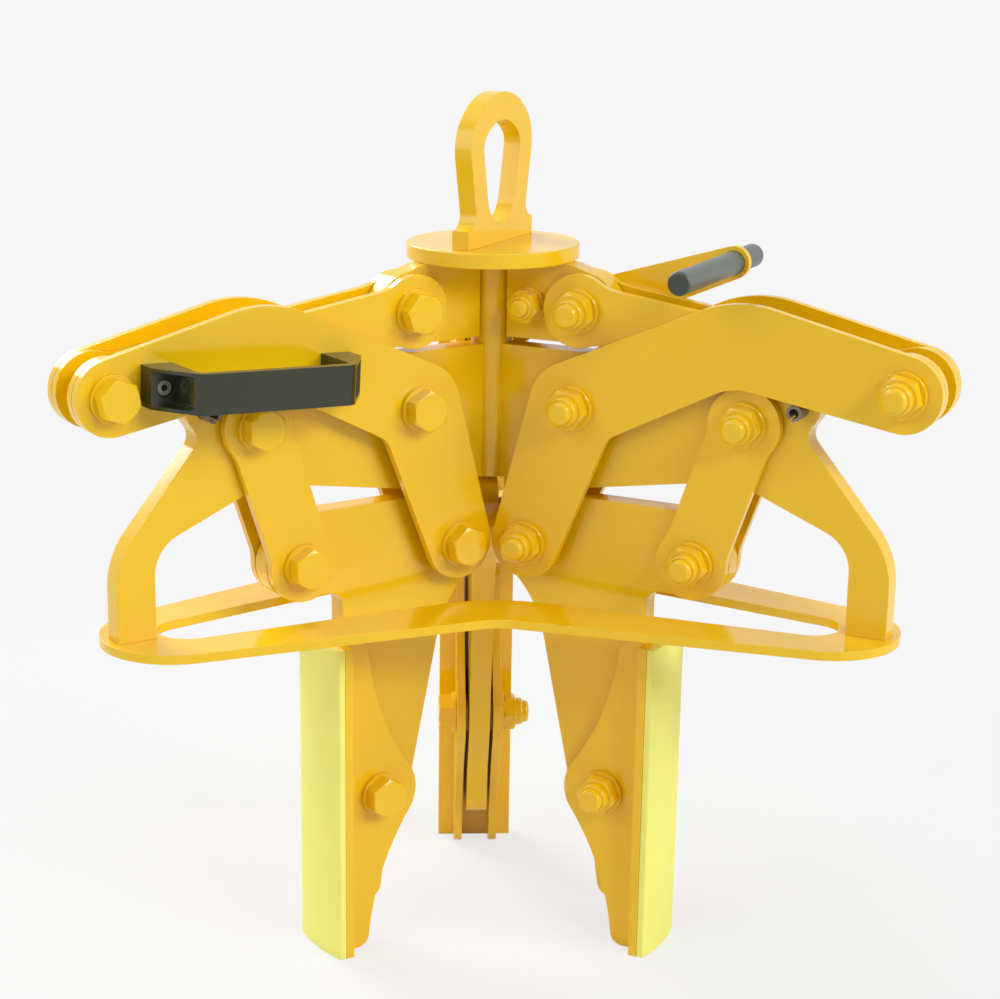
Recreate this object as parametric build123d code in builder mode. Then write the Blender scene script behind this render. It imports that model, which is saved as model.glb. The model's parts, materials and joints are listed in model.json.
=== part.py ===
from build123d import *
import os
from collections import namedtuple
from math import acos, atan2, cos, degrees, radians, sin, sqrt, tan

# Internal lifting gripper. A head with a lifting eye slides on the tube of a welded three-arm frame.
# Lifting the head pulls three upper links, which turn three cranks and push three upright legs outwards,
# so that the padded shoes on the legs press against the inside of a ring.
#
# All sizes are millimetres and degrees. The origin is the hook's seat in the lifting eye, on the axis of
# the tube, with +Z up. Arms are drawn along +X and turned into place. Heights in an arm's drawing are
# counted from the crank's pivot on the frame, and radii from the axis of the tube.

# Arms, by the direction that each points in
ARMS = {"left": 210, "right": 330, "rear": 90}
LOCK_ARM = "right"
HANDLE_ARM = "left"

# Pivots of one arm
CRANK_RADIUS = 68.0
LEG_PITCH = 115.0
CRANK_DROP = 95.0
CRANK_SET_IN = 31.5
CRANK_REACH = 216.5
CRANK_RISE = 31.0
SHOE_DROP = 168.0
SHOE_STEP_OUT = 59.0

# Sheet thicknesses and the gaps between the layers of an arm
WEB_SHEET = 15.0
LINK_SHEET = 6.0
CRANK_SHEET = 6.0
CHEEK_SHEET = 6.0
LINK_GAP = 1.0
CRANK_GAP = 0.5
CHEEK_GAP = 2.5

# Clearances
PIVOT_PLAY = 0.2
HEAD_PIVOT_PLAY = 1.25
SLIDE_PLAY = 0.25
FACE_PLAY = 0.1
STOP_PLAY = 0.3

# Large bolts, with a washer at each end and a locking nut
BOLT_RADIUS = 8.0
BOLT_FLATS = 24.0
BOLT_HEAD = 10.0
BOLT_NUT = 8.75
BOLT_COLLAR = 5.25
BOLT_COLLAR_RADIUS = 10.0
BOLT_TIP = 4.6
BOLT_WASHER_RADIUS = 15.0
BOLT_WASHER = 3.0
BUSH_RADIUS = 12.0

# Small bolt that stops the lever
STOP_BOLT_RADIUS = 6.0
STOP_BOLT_FLATS = 19.0
STOP_BOLT_HEAD = 7.5
STOP_BOLT_NUT = 10.0
STOP_BOLT_COLLAR = 2.0
STOP_BOLT_COLLAR_RADIUS = 8.0
STOP_BOLT_TIP = 3.0
STOP_BOLT_WASHER_RADIUS = 12.0
STOP_BOLT_WASHER = 2.5
STOP_SLEEVE_RADIUS = 8.0
STOP_BOLT_SET_IN = 38.0

# Crank plates
CRANK_EYE = 24.0
CRANK_HUB = 30.0
CRANK_CROWN = 77.2
CRANK_CROWN_OUT = 116.0
CRANK_HEEL_OUT = 25.5
CRANK_HEEL_DROP = 18.0
CRANK_HEEL_ROUND = 15.0
CRANK_THROAT_IN = 6.5
CRANK_THROAT_RISE = 24.8
CRANK_THROAT_ROUND = 35.0

# Links
LINK_CRANK_EYE = 24.0
LINK_HEAD_EYE = 24.0
LINK_HALF_WIDTH = 18.4
LINK_NECK = 28.0
OUTER_LINK_EYE = 24.0
OUTER_LINK_HALF_WIDTH = 21.0
OUTER_LINK_NECK = 25.0

# Leg plate
LEG_INNER_EYE = 28.0
LEG_OUTER_EYE = 24.0
LEG_TOP_RISE = 32.7
LEG_TOP_START = 8.5
LEG_TOP_END = 12.5
LEG_HIP_OUT = 4.5
LEG_HIP_DROP = 44.1
LEG_HIP_ROUND = 75.0
LEG_SHOE_EYE = 27.6
LEG_BAR_OUT = 23.8
LEG_ARMPIT_ROUND = 10.0
LEG_FOOT_DROP = 80.0
LEG_FOOT_IN = 4.0
LEG_FOOT_ROUND = 10.0
LEG_SHIN_IN = 9.5
LEG_SHIN_DROP = 42.0
LEG_SHIN_ROUND = 30.0
LEG_CORNER = 3.0

# Shoe
SHOE_GAP = 3.45
SHOE_HEIGHT = 220.0
SHOE_WIDTH = 54.0
SHOE_SHEET = 6.0
SHOE_EYE = 28.0
SHOE_WAIST_ROUND = 180.0
SHOE_CHEEK_DEPTH = 17.2
SHOE_CORNER = 9.0
PAD_EDGE = 4.6
PAD_CROWN = 3.3

# Frame: tube, webs and star plate
TUBE_RADIUS = 13.5
TUBE_WALL = 3.25
TUBE_DROP = 55.5
WEB_TOP = 34.6
WEB_TOP_LENGTH = 85.0
WEB_TOP_ROUND = 20.0
WEB_ROOT_LENGTH = 75.0
WEB_ARCH_DROP = 38.7
WEB_ARCH_RADIUS = 176.3
WEB_ARCH_ROUND = 30.0
HORN_INNER = 253.8
HORN_WIDTH = 26.2
HORN_SLOPE = 22.3
HORN_INNER_ROUND = 26.0
HORN_SHOULDER = 52.8
HORN_BACK_SLOPE = 50.0
HORN_OUTER_ROUND = 55.0
STAR_DROP = 128.3
STAR_SHEET = 6.0
STAR_RIM_OUT = 5.6
STAR_RIM_IN = 5.5
STAR_LOBE = 48.8
STAR_FLARE = 10.4
STAR_CROTCH = 30.0
STAR_SLOT = 20.4
STAR_SLOT_FLARE = 6.2
STAR_SLOT_CROTCH = 86.0

# Slotted spring pins that the cranks rest on
STOP_PIN_RADIUS = 5.0
STOP_PIN_BORE = 3.0
STOP_PIN_SLOT = 1.6
STOP_PIN_SLOT_TURN = 241.0
STOP_PIN_OUT = 35.2
STOP_BOSS = 12.5
STOP_BOSS_NECK = 10.0
STOP_BOSS_STEP = 15.0

# Head: disc, guide rod, webs and lifting eye
HEAD_GAP = 5.1
HEAD_WEB_END = 24.5
HEAD_WEB_FALL = 18.5
HEAD_WEB_TOP_ROUND = 24.3
HEAD_WEB_BOTTOM_ROUND = 20.0
HEAD_COVER = 28.6
HEAD_WEB_PLAY = 0.9
HEAD_WEB_FLAT = 59.7
DISC_RADIUS = 56.9
DISC_SHEET = 10.0
DISC_EDGE = 0.6
ROD_DROP = 52.0
ROD_CHAMFER = 2.0
EYE_TURN = 60.0
EYE_SHEET = 12.0
EYE_BAND = 18.0
EYE_SEAT_ROUND = 34.0
EYE_SHOULDER_ROUND = 10.0
EYE_SHOULDER_OUT = 16.5
EYE_SEAT_RISE = 78.6
EYE_SOLE_ROUND = 20.0
EYE_SOLE_RISE = 12.7
EYE_FOOT_LENGTH = 94.0
EYE_FOOT_RISE = 12.2
EYE_FOOT_ROUND = 9.5

# Lock lever, its grip and the pin that its hook swings under
LEVER_SHEET = 5.0
LEVER_EYE = 16.5
LEVER_LOOP_OUT = 93.0
LEVER_LOOP_RISE = 34.5
LEVER_LOOP = 10.5
LEVER_TAIL_FALL = 23.0
LEVER_TAIL_HALF_WIDTH = 6.7
LEVER_SWING = 20.0
LEVER_HOOK_DEPTH = 7.0
LEVER_HOOK_ROUND = 2.0
GRIP_RADIUS = 7.5
GRIP_LENGTH = 129.0
GRIP_NUT_SIDE = 78.0
GRIP_EDGE = 2.0
CATCH_RADIUS = 4.0
CATCH_REACH = 55.0
CATCH_DEPTH = 11.0

# Bow handle on one crank
HANDLE_END_GAP = 3.05
HANDLE_LIFT = 7.4
HANDLE_TILT = 2.8
HANDLE_LENGTH = 144.2
HANDLE_WIDTH = 25.0
HANDLE_PROUD = 42.5
HANDLE_GRIP_SHEET = 6.0
HANDLE_SHOULDER = 20.1
HANDLE_FOOT_LENGTH = 20.5
HANDLE_FOOT_RISE = 14.6
HANDLE_BEND_ROUND = 9.0
HANDLE_GAP_ROUND = 4.0
HANDLE_WALL = 2.2
HANDLE_POCKET_LENGTH = 17.1
HANDLE_POCKET_ROUND = 3.0
SCREW_RADIUS = 2.5
SCREW_HEAD_RADIUS = 4.7
SCREW_HEAD = 3.1
SCREW_SINK = 4.0
SCREW_SINK_RADIUS = 5.4
SCREW_SOCKET_FLATS = 4.0
SCREW_SOCKET_DEPTH = 2.0
SCREW_SET_IN = 9.4

# Places that follow from the sizes above
PIVOT_CRANK = Vector(CRANK_RADIUS, 0)
PIVOT_FRAME_LINK = PIVOT_CRANK + Vector(LEG_PITCH, 0)
PIVOT_LEG = PIVOT_CRANK - Vector(CRANK_SET_IN, CRANK_DROP)
PIVOT_LEG_LINK = PIVOT_LEG + Vector(LEG_PITCH, 0)
PIVOT_LINK = PIVOT_CRANK + Vector(CRANK_REACH, CRANK_RISE)
PIVOT_HEAD = PIVOT_CRANK + Vector(0, 2 * CRANK_RISE)
PIVOT_SHOE = PIVOT_LEG + Vector(SHOE_STEP_OUT, -SHOE_DROP)
CRANK_HEEL = PIVOT_CRANK + Vector(CRANK_HEEL_OUT, -CRANK_HEEL_DROP)
CRANK_THROAT = PIVOT_FRAME_LINK + Vector(-CRANK_THROAT_IN, CRANK_THROAT_RISE)
STOP_BOLT_AXIS = PIVOT_HEAD - Vector(STOP_BOLT_SET_IN, 0)
LEVER_LOOP_AXIS = PIVOT_HEAD + Vector(LEVER_LOOP_OUT, LEVER_LOOP_RISE)

WEB_FACE = WEB_SHEET / 2
LINK_FACE = WEB_FACE + LINK_GAP
LINK_BACK = LINK_FACE + LINK_SHEET
CRANK_FACE = LINK_BACK + CRANK_GAP
CRANK_BACK = CRANK_FACE + CRANK_SHEET
CHEEK_FACE = WEB_FACE + CHEEK_GAP
CHEEK_BACK = CHEEK_FACE + CHEEK_SHEET
LEVER_FACE = LINK_BACK + FACE_PLAY
LEVER_BACK = LEVER_FACE + LEVER_SHEET

DISC_UNDERSIDE = PIVOT_HEAD.Y + HEAD_COVER
DISC_TOP = DISC_UNDERSIDE + DISC_SHEET
SEAT = DISC_TOP + EYE_SEAT_RISE
LEG_BAR_FACE = PIVOT_SHOE.X + LEG_BAR_OUT
SHOE_FACE = LEG_BAR_FACE + SHOE_GAP
PAD_FACE = SHOE_FACE + SHOE_SHEET
HORN_OUTER = HORN_INNER + HORN_WIDTH
PIVOT_HOLE = BOLT_RADIUS + PIVOT_PLAY
HEAD_PIVOT_HOLE = BOLT_RADIUS + HEAD_PIVOT_PLAY
SCREW_OUT = HANDLE_LENGTH / 2 - SCREW_SET_IN
SCREW_SEAT = HANDLE_FOOT_RISE - SCREW_SINK
SCREW_PLACES = [(SCREW_OUT, 0), (-SCREW_OUT, 0)]

Fastener = namedtuple("Fastener", "radius flats head nut collar collar_radius tip washer_radius washer")
LARGE_BOLT = Fastener(
    BOLT_RADIUS, BOLT_FLATS, BOLT_HEAD, BOLT_NUT, BOLT_COLLAR,
    BOLT_COLLAR_RADIUS, BOLT_TIP, BOLT_WASHER_RADIUS, BOLT_WASHER,
)
STOP_BOLT = Fastener(
    STOP_BOLT_RADIUS, STOP_BOLT_FLATS, STOP_BOLT_HEAD, STOP_BOLT_NUT, STOP_BOLT_COLLAR,
    STOP_BOLT_COLLAR_RADIUS, STOP_BOLT_TIP, STOP_BOLT_WASHER_RADIUS, STOP_BOLT_WASHER,
)


def level(height):
    """Height in the finished part of a height over the crank's pivot."""
    return height - SEAT


def arm_plane(offset=0.0, angle=0.0):
    """Plane of an arm's side view, moved sideways; positive is the side of the nuts."""
    side = Vector(sin(radians(angle)), -cos(radians(angle)), 0)
    out = Vector(cos(radians(angle)), sin(radians(angle)), 0)
    return Plane(origin=side * offset + Vector(0, 0, level(0)), x_dir=out, z_dir=side)


def polar(length, angle):
    """Vector of a length at an angle from the horizontal."""
    return Vector(length * cos(radians(angle)), length * sin(radians(angle)))


def bearing(start, end):
    """Angle from the horizontal of the line between two points."""
    return degrees(atan2(end.Y - start.Y, end.X - start.X))


def tangent(first, first_radius, second, second_radius):
    """Ends of the line that touches two circles, on the right-hand side of the way between them."""
    lean = bearing(first, second) - degrees(acos((first_radius - second_radius) / (second - first).length))
    return first + polar(first_radius, lean), second + polar(second_radius, lean)


def stop_pin_axis():
    """Centre of the stop pin under the crank's lower edge, clear of it by the stop's play."""
    start, end = tangent(CRANK_THROAT, 0, PIVOT_LINK, CRANK_EYE)
    along = (end - start).normalized()
    below = Vector(along.Y, -along.X)
    out = PIVOT_FRAME_LINK.X + STOP_PIN_OUT - start.X
    return start + along * (out / along.X) + below * (STOP_PIN_RADIUS + STOP_PLAY)


STOP_PIN_AXIS = stop_pin_axis()
CATCH_ACROSS = LEVER_TAIL_HALF_WIDTH + STOP_PLAY + CATCH_RADIUS
CATCH_ALONG = sqrt(CATCH_REACH ** 2 - CATCH_ACROSS ** 2)
CATCH_AXIS = PIVOT_HEAD + polar(
    CATCH_REACH, 180 + LEVER_TAIL_FALL + LEVER_SWING + degrees(atan2(CATCH_ACROSS, CATCH_ALONG))
)


def outline(stations, holes, plane):
    """Sheet outline, counter-clockwise round eyes (centre, radius, 0) and corners (point, 0, rounding)."""
    lines = [
        tangent(here[0], here[1], there[0], there[1])
        for here, there in zip(stations, stations[1:] + stations[:1])
    ]
    with BuildSketch(plane) as face:
        with BuildLine():
            for index, (centre, radius, _) in enumerate(stations):
                arrival, departure = lines[index - 1][1], lines[index][0]
                if radius > 0:
                    start = bearing(centre, arrival)
                    CenterArc(centre, radius, start, (bearing(centre, departure) - start) % 360)
                Line(*lines[index])
        make_face()
        for point, _, rounding in stations:
            if rounding > 0:
                fillet(face.vertices().sort_by_distance(point)[0], rounding)
        for centre, radius in holes:
            with Locations(centre):
                Circle(radius, mode=Mode.SUBTRACT)
    return face.sketch


def strap(first, first_eye, second, second_eye, half_width, neck, plane):
    """Link outline: two eyes joined by a parallel shank, with hollow necks at the eyes."""
    along = (second - first).normalized()
    with BuildSketch(plane) as face:
        with Locations(first):
            Circle(first_eye)
        with Locations(second):
            Circle(second_eye)
        with Locations(Location((first + second) / 2, bearing(first, second))):
            Rectangle((second - first).length, 2 * half_width)
        necks = [
            vertex for vertex in face.vertices()
            if abs(abs(along.cross(vertex.center() - first).Z) - half_width) < FACE_PLAY
        ]
        fillet(necks, neck)
        with Locations(first, second):
            Circle(PIVOT_HOLE, mode=Mode.SUBTRACT)
    return face.sketch


def plate(face, thickness):
    """One plate, with the outline's plane as its middle."""
    with BuildPart() as solid:
        extrude(face, amount=thickness / 2, both=True)
    return solid.part


def pair_of_plates(face, thickness):
    """A plate that stands on the outline's plane, and its twin on the other side of the arm."""
    with BuildPart() as pair:
        extrude(face, amount=thickness)
        mirror(about=Plane.XZ)
    return pair.part


def ring(axis, start, length, radius, bore):
    """Washer or bush on a bolt, from an offset of the arm's side view."""
    with BuildPart() as solid:
        with BuildSketch(arm_plane(start)):
            with Locations(axis):
                Circle(radius)
                Circle(bore, mode=Mode.SUBTRACT)
        extrude(amount=length)
    return solid.part


def bolt_and_nut(axis, head_reach, nut_reach, size):
    """Bolt with a washer under its head, and a locking nut on a washer."""
    nut_face = nut_reach + size.washer
    nut_back = nut_face + size.nut
    collar_back = nut_back + size.collar
    with BuildPart() as fastener:
        with BuildSketch(arm_plane(nut_reach), arm_plane(-head_reach - size.washer)):
            with Locations(axis):
                Circle(size.washer_radius)
        extrude(amount=size.washer)
        with BuildSketch(arm_plane(nut_face)):
            with Locations(axis):
                RegularPolygon(size.flats / 2, 6, major_radius=False)
        extrude(amount=size.nut)
        with BuildSketch(arm_plane(nut_back)):
            with Locations(axis):
                Circle(size.collar_radius)
        extrude(amount=size.collar)
        with BuildSketch(arm_plane(nut_reach)):
            with Locations(axis):
                Circle(size.radius + FACE_PLAY)
        extrude(amount=collar_back - nut_reach, mode=Mode.SUBTRACT)
        with BuildSketch(arm_plane(-head_reach - size.washer)):
            with Locations(axis):
                RegularPolygon(size.flats / 2, 6, major_radius=False)
        extrude(amount=-size.head)
        with BuildSketch(arm_plane(-head_reach)):
            with Locations(axis):
                Circle(size.radius)
        extrude(amount=head_reach + collar_back + size.tip)
    return fastener.part


def crank_plates(handle):
    """Bell crank of one arm: two plates on the frame pivot, the outer pair of layers."""
    stations = [
        (PIVOT_LINK, CRANK_EYE, 0),
        (PIVOT_CRANK + Vector(CRANK_CROWN_OUT, 0), CRANK_CROWN, 0),
        (PIVOT_CRANK, CRANK_HUB, 0),
        (PIVOT_LEG, CRANK_EYE, 0),
        (CRANK_HEEL, 0, CRANK_HEEL_ROUND),
        (CRANK_THROAT, 0, CRANK_THROAT_ROUND),
    ]
    holes = [(pivot, PIVOT_HOLE) for pivot in (PIVOT_LINK, PIVOT_CRANK, PIVOT_LEG)]
    with BuildPart() as plates:
        extrude(outline(stations, holes, arm_plane(CRANK_FACE)), amount=CRANK_SHEET)
        mirror(about=Plane.XZ)
        if handle:
            with BuildSketch(handle_base()):
                with Locations(*SCREW_PLACES):
                    Circle(SCREW_RADIUS + FACE_PLAY)
            extrude(amount=-CRANK_SHEET, mode=Mode.SUBTRACT)
    return plates.part


def crank_bushes():
    """Bushes that hold the crank plates and the upper links apart."""
    gap = CRANK_FACE - WEB_FACE - FACE_PLAY
    with BuildPart() as bushes:
        for pivot in (PIVOT_CRANK, PIVOT_LEG):
            add(ring(pivot, WEB_FACE + FACE_PLAY, gap, BUSH_RADIUS, PIVOT_HOLE))
            add(ring(pivot, -CRANK_FACE, gap, BUSH_RADIUS, PIVOT_HOLE))
        inside = LINK_FACE - FACE_PLAY
        add(ring(PIVOT_LINK, -inside, 2 * inside, BUSH_RADIUS, PIVOT_HOLE))
    return bushes.part


def leg_plate():
    """Upright leg between the crank and the outer link, with the pivot of its shoe."""
    top = PIVOT_LEG.Y + LEG_TOP_RISE
    foot = PIVOT_SHOE.Y - LEG_FOOT_DROP
    stations = [
        (Vector(PIVOT_LEG_LINK.X - LEG_TOP_END, top), 0, LEG_CORNER),
        (Vector(PIVOT_LEG.X + LEG_TOP_START, top), 0, LEG_CORNER),
        (PIVOT_LEG, LEG_INNER_EYE, 0),
        (PIVOT_LEG + Vector(LEG_HIP_OUT, -LEG_HIP_DROP), 0, LEG_HIP_ROUND),
        (PIVOT_SHOE, LEG_SHOE_EYE, 0),
        (PIVOT_SHOE - Vector(LEG_SHIN_IN, LEG_SHIN_DROP), 0, LEG_SHIN_ROUND),
        (Vector(PIVOT_SHOE.X - LEG_FOOT_IN, foot), 0, LEG_FOOT_ROUND),
        (Vector(LEG_BAR_FACE, foot), 0, LEG_CORNER),
        (Vector(LEG_BAR_FACE, PIVOT_LEG_LINK.Y - LEG_OUTER_EYE), 0, LEG_ARMPIT_ROUND),
        (PIVOT_LEG_LINK, LEG_OUTER_EYE, 0),
    ]
    holes = [(pivot, PIVOT_HOLE) for pivot in (PIVOT_LEG, PIVOT_LEG_LINK, PIVOT_SHOE)]
    return plate(outline(stations, holes, arm_plane()), WEB_SHEET)


def shoe_cheeks():
    """Two waisted plates that carry the shoe on the leg's pivot."""
    middle = PIVOT_SHOE.Y
    reach = SHOE_HEIGHT / 2
    waist_x = SHOE_FACE - SHOE_CHEEK_DEPTH - SHOE_WAIST_ROUND
    waist_rise = sqrt((SHOE_EYE + SHOE_WAIST_ROUND) ** 2 - (PIVOT_SHOE.X - waist_x) ** 2)
    waist = Vector(waist_x, middle + waist_rise)
    tip_x = waist_x + sqrt(SHOE_WAIST_ROUND ** 2 - (waist_rise - reach) ** 2)
    tip = Vector(tip_x, middle + reach)
    eye_start = bearing(PIVOT_SHOE, waist)
    waist_start = bearing(waist, tip)
    with BuildSketch(arm_plane(CHEEK_FACE)) as face:
        with BuildLine():
            Polyline((SHOE_FACE, middle), (SHOE_FACE, middle + reach), tip)
            CenterArc(waist, SHOE_WAIST_ROUND, waist_start, eye_start - 180 - waist_start)
            CenterArc(PIVOT_SHOE, SHOE_EYE, eye_start, 180 - eye_start)
            mirror(about=Plane.XZ.offset(-middle))
        make_face()
        for corner in (tip, Vector(tip_x, middle - reach)):
            fillet(face.vertices().sort_by_distance(corner)[0], SHOE_CORNER)
        with Locations(PIVOT_SHOE):
            Circle(PIVOT_HOLE, mode=Mode.SUBTRACT)
    return pair_of_plates(face.sketch, CHEEK_SHEET)


def shoe_plate():
    """Flat backing plate of the shoe."""
    with BuildPart() as backing:
        with BuildSketch(Plane.XY.offset(level(PIVOT_SHOE.Y - SHOE_HEIGHT / 2))):
            with Locations((SHOE_FACE, 0)):
                Rectangle(SHOE_SHEET, SHOE_WIDTH, align=(Align.MIN, Align.CENTER))
        extrude(amount=SHOE_HEIGHT)
    return backing.part


def shoe_pad():
    """Crowned friction pad on the outer face of the shoe."""
    edge = PAD_FACE + PAD_EDGE
    half = SHOE_WIDTH / 2
    with BuildPart() as pad:
        with BuildSketch(Plane.XY.offset(level(PIVOT_SHOE.Y - SHOE_HEIGHT / 2))):
            with BuildLine():
                Polyline((edge, half), (PAD_FACE, half), (PAD_FACE, -half), (edge, -half))
                ThreePointArc((edge, -half), (edge + PAD_CROWN, 0), (edge, half))
            make_face()
        extrude(amount=SHOE_HEIGHT)
    return pad.part


def shoe_bolt():
    """Pivot bolt of a shoe, with the two washers that centre the leg between the cheeks."""
    with BuildPart() as bolt:
        add(bolt_and_nut(PIVOT_SHOE, CHEEK_BACK, CHEEK_BACK, LARGE_BOLT))
        for start in (WEB_FACE + FACE_PLAY, -CHEEK_FACE):
            add(ring(PIVOT_SHOE, start, CHEEK_GAP - FACE_PLAY, BOLT_WASHER_RADIUS, PIVOT_HOLE))
    return bolt.part


def large_bolts(pivots, head_reach, nut_reach):
    """Bolts of one node, alike but for their places."""
    with BuildPart() as bolts:
        for pivot in pivots:
            add(bolt_and_nut(pivot, head_reach, nut_reach, LARGE_BOLT))
    return bolts.part


def handle_base():
    """Plane of the crank's face under the bow handle, whose end stands clear of the outer bolt's washer."""
    along = Vector(1, 0).rotate(Axis.Z, HANDLE_TILT)
    across = along.rotate(Axis.Z, 90)
    set_in = BOLT_WASHER_RADIUS + HANDLE_END_GAP + HANDLE_LENGTH / 2
    middle = PIVOT_LINK - along * set_in + across * HANDLE_LIFT
    origin = Vector(middle.X, CRANK_BACK, level(middle.Y))
    return Plane(origin=origin, x_dir=(along.X, 0, along.Y), z_dir=(0, 1, 0))


def bow_handle():
    """Moulded bow handle with a screw pocket in each sloping shoulder, open at the end."""
    end = HANDLE_LENGTH / 2
    bend = end - HANDLE_SHOULDER
    foot = end - HANDLE_FOOT_LENGTH
    underside = HANDLE_PROUD - HANDLE_GRIP_SHEET
    base = handle_base()
    side_view = Plane(origin=base.origin, x_dir=base.x_dir, z_dir=-base.y_dir)
    outer = [(foot, 0), (end, 0), (end, HANDLE_FOOT_RISE), (bend, HANDLE_PROUD)]
    inner = [(foot, underside), (foot, 0)]
    with BuildPart() as handle:
        with BuildSketch(side_view) as profile:
            with BuildLine():
                Polyline(*outer)
                Line((bend, HANDLE_PROUD), (0, HANDLE_PROUD))
                Polyline((0, underside), *inner)
                mirror(about=Plane.YZ)
            make_face()
            for height, rounding in ((HANDLE_PROUD, HANDLE_BEND_ROUND), (underside, HANDLE_GAP_ROUND)):
                corners = profile.vertices()
                fillet(corners.filter_by_position(Axis.Y, height - FACE_PLAY, height + FACE_PLAY), rounding)
        extrude(amount=HANDLE_WIDTH / 2, both=True)
        pocket_reach = HANDLE_POCKET_LENGTH + 2 * HANDLE_POCKET_ROUND
        pocket_out = end - HANDLE_POCKET_LENGTH + pocket_reach / 2
        pocket_width = HANDLE_WIDTH - 2 * HANDLE_WALL
        with BuildSketch(base.offset(HANDLE_FOOT_RISE)):
            with Locations((pocket_out, 0), (-pocket_out, 0)):
                RectangleRounded(pocket_reach, pocket_width, HANDLE_POCKET_ROUND)
        extrude(amount=HANDLE_PROUD, mode=Mode.SUBTRACT)
        with BuildSketch(base.offset(SCREW_SEAT)):
            with Locations(*SCREW_PLACES):
                Circle(SCREW_SINK_RADIUS)
        extrude(amount=SCREW_SINK, mode=Mode.SUBTRACT)
        with BuildSketch(base):
            with Locations(*SCREW_PLACES):
                Circle(SCREW_RADIUS + FACE_PLAY)
        extrude(amount=SCREW_SEAT, mode=Mode.SUBTRACT)
    return handle.part


def handle_screws():
    """Socket-head screws of a bow handle, sunk in its feet and through into the crank plate."""
    base = handle_base()
    with BuildPart() as screws:
        with BuildSketch(base.offset(-CRANK_SHEET)):
            with Locations(*SCREW_PLACES):
                Circle(SCREW_RADIUS)
        extrude(amount=CRANK_SHEET + SCREW_SEAT)
        with BuildSketch(base.offset(SCREW_SEAT)):
            with Locations(*SCREW_PLACES):
                Circle(SCREW_HEAD_RADIUS)
        extrude(amount=SCREW_HEAD)
        with BuildSketch(base.offset(SCREW_SEAT + SCREW_HEAD)):
            with Locations(*SCREW_PLACES):
                RegularPolygon(SCREW_SOCKET_FLATS / 2, 6, major_radius=False)
        extrude(amount=-SCREW_SOCKET_DEPTH, mode=Mode.SUBTRACT)
    return screws.part


def frame_web(catch):
    """Upright web of one frame arm: from the tube over the pivots and down the horn to the star plate."""
    arch = Vector(WEB_ARCH_RADIUS, -WEB_ARCH_DROP)
    horn_bend = arch + Vector(HORN_INNER - arch.X, -(HORN_INNER - arch.X) * tan(radians(HORN_SLOPE)))
    shoulder = Vector(HORN_OUTER, HORN_SHOULDER - STAR_DROP)
    back = polar(1, 180 - HORN_BACK_SLOPE)
    neck = shoulder + back * (back.dot(STOP_PIN_AXIS - shoulder) - STOP_BOSS_STEP)
    stations = [
        (Vector(WEB_FACE, WEB_TOP), 0, 0),
        (Vector(WEB_FACE, -TUBE_DROP), 0, 0),
        (Vector(WEB_ROOT_LENGTH, -TUBE_DROP), 0, 0),
        (arch, 0, WEB_ARCH_ROUND),
        (horn_bend, 0, HORN_INNER_ROUND),
        (Vector(HORN_INNER, -STAR_DROP), 0, 0),
        (Vector(HORN_OUTER, -STAR_DROP), 0, 0),
        (shoulder, 0, HORN_OUTER_ROUND),
        (neck, 0, STOP_BOSS_NECK),
        (STOP_PIN_AXIS, STOP_BOSS, 0),
        (Vector(WEB_TOP_LENGTH, WEB_TOP), 0, WEB_TOP_ROUND),
    ]
    holes = [(PIVOT_CRANK, PIVOT_HOLE), (PIVOT_FRAME_LINK, PIVOT_HOLE), (STOP_PIN_AXIS, STOP_PIN_RADIUS)]
    with BuildPart() as web:
        extrude(outline(stations, holes, arm_plane()), amount=WEB_FACE, both=True)
        with BuildSketch(Plane.XY.offset(level(-TUBE_DROP))):
            Circle(TUBE_RADIUS)
        extrude(amount=TUBE_DROP + WEB_TOP, mode=Mode.SUBTRACT)
        if catch:
            with BuildSketch(arm_plane(-WEB_FACE)):
                with Locations(CATCH_AXIS):
                    Circle(CATCH_RADIUS)
            extrude(amount=CATCH_DEPTH, mode=Mode.SUBTRACT)
    return web.part


def head_web(stop):
    """Web of the head above one frame web, with the pivot of the upper links."""
    end = PIVOT_HEAD.X + HEAD_WEB_END
    inner = TUBE_RADIUS + HEAD_WEB_PLAY
    bottom = WEB_TOP + HEAD_GAP
    end_top = DISC_UNDERSIDE - (end - HEAD_WEB_FLAT) * tan(radians(HEAD_WEB_FALL))
    stations = [
        (Vector(inner, DISC_UNDERSIDE), 0, 0),
        (Vector(inner, bottom), 0, 0),
        (Vector(end, bottom), 0, HEAD_WEB_BOTTOM_ROUND),
        (Vector(end, end_top), 0, HEAD_WEB_TOP_ROUND),
        (Vector(HEAD_WEB_FLAT, DISC_UNDERSIDE), 0, 0),
    ]
    holes = [(PIVOT_HEAD, HEAD_PIVOT_HOLE)]
    if stop:
        holes.append((STOP_BOLT_AXIS, STOP_BOLT_RADIUS + PIVOT_PLAY))
    return plate(outline(stations, holes, arm_plane()), WEB_SHEET)


def trefoil(plane, lobe_end, lobe, flare, crotch):
    """Three-lobed outline, one flared lobe along each arm."""
    centre = lobe_end - lobe
    root = lobe / cos(radians(flare)) + centre * tan(radians(flare))
    touch = Vector(centre, 0) + polar(lobe, 90 - flare)
    with BuildSketch(plane) as face:
        with PolarLocations(0, len(ARMS), start_angle=ARMS["rear"]):
            Polygon((0, -root), (touch.X, -touch.Y), (touch.X, touch.Y), (0, root), align=None)
        with PolarLocations(centre, len(ARMS), start_angle=ARMS["rear"]):
            Circle(lobe)
        fillet(face.vertices().sort_by_distance((0, 0))[: len(ARMS)], crotch)
    return face.sketch


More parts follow.
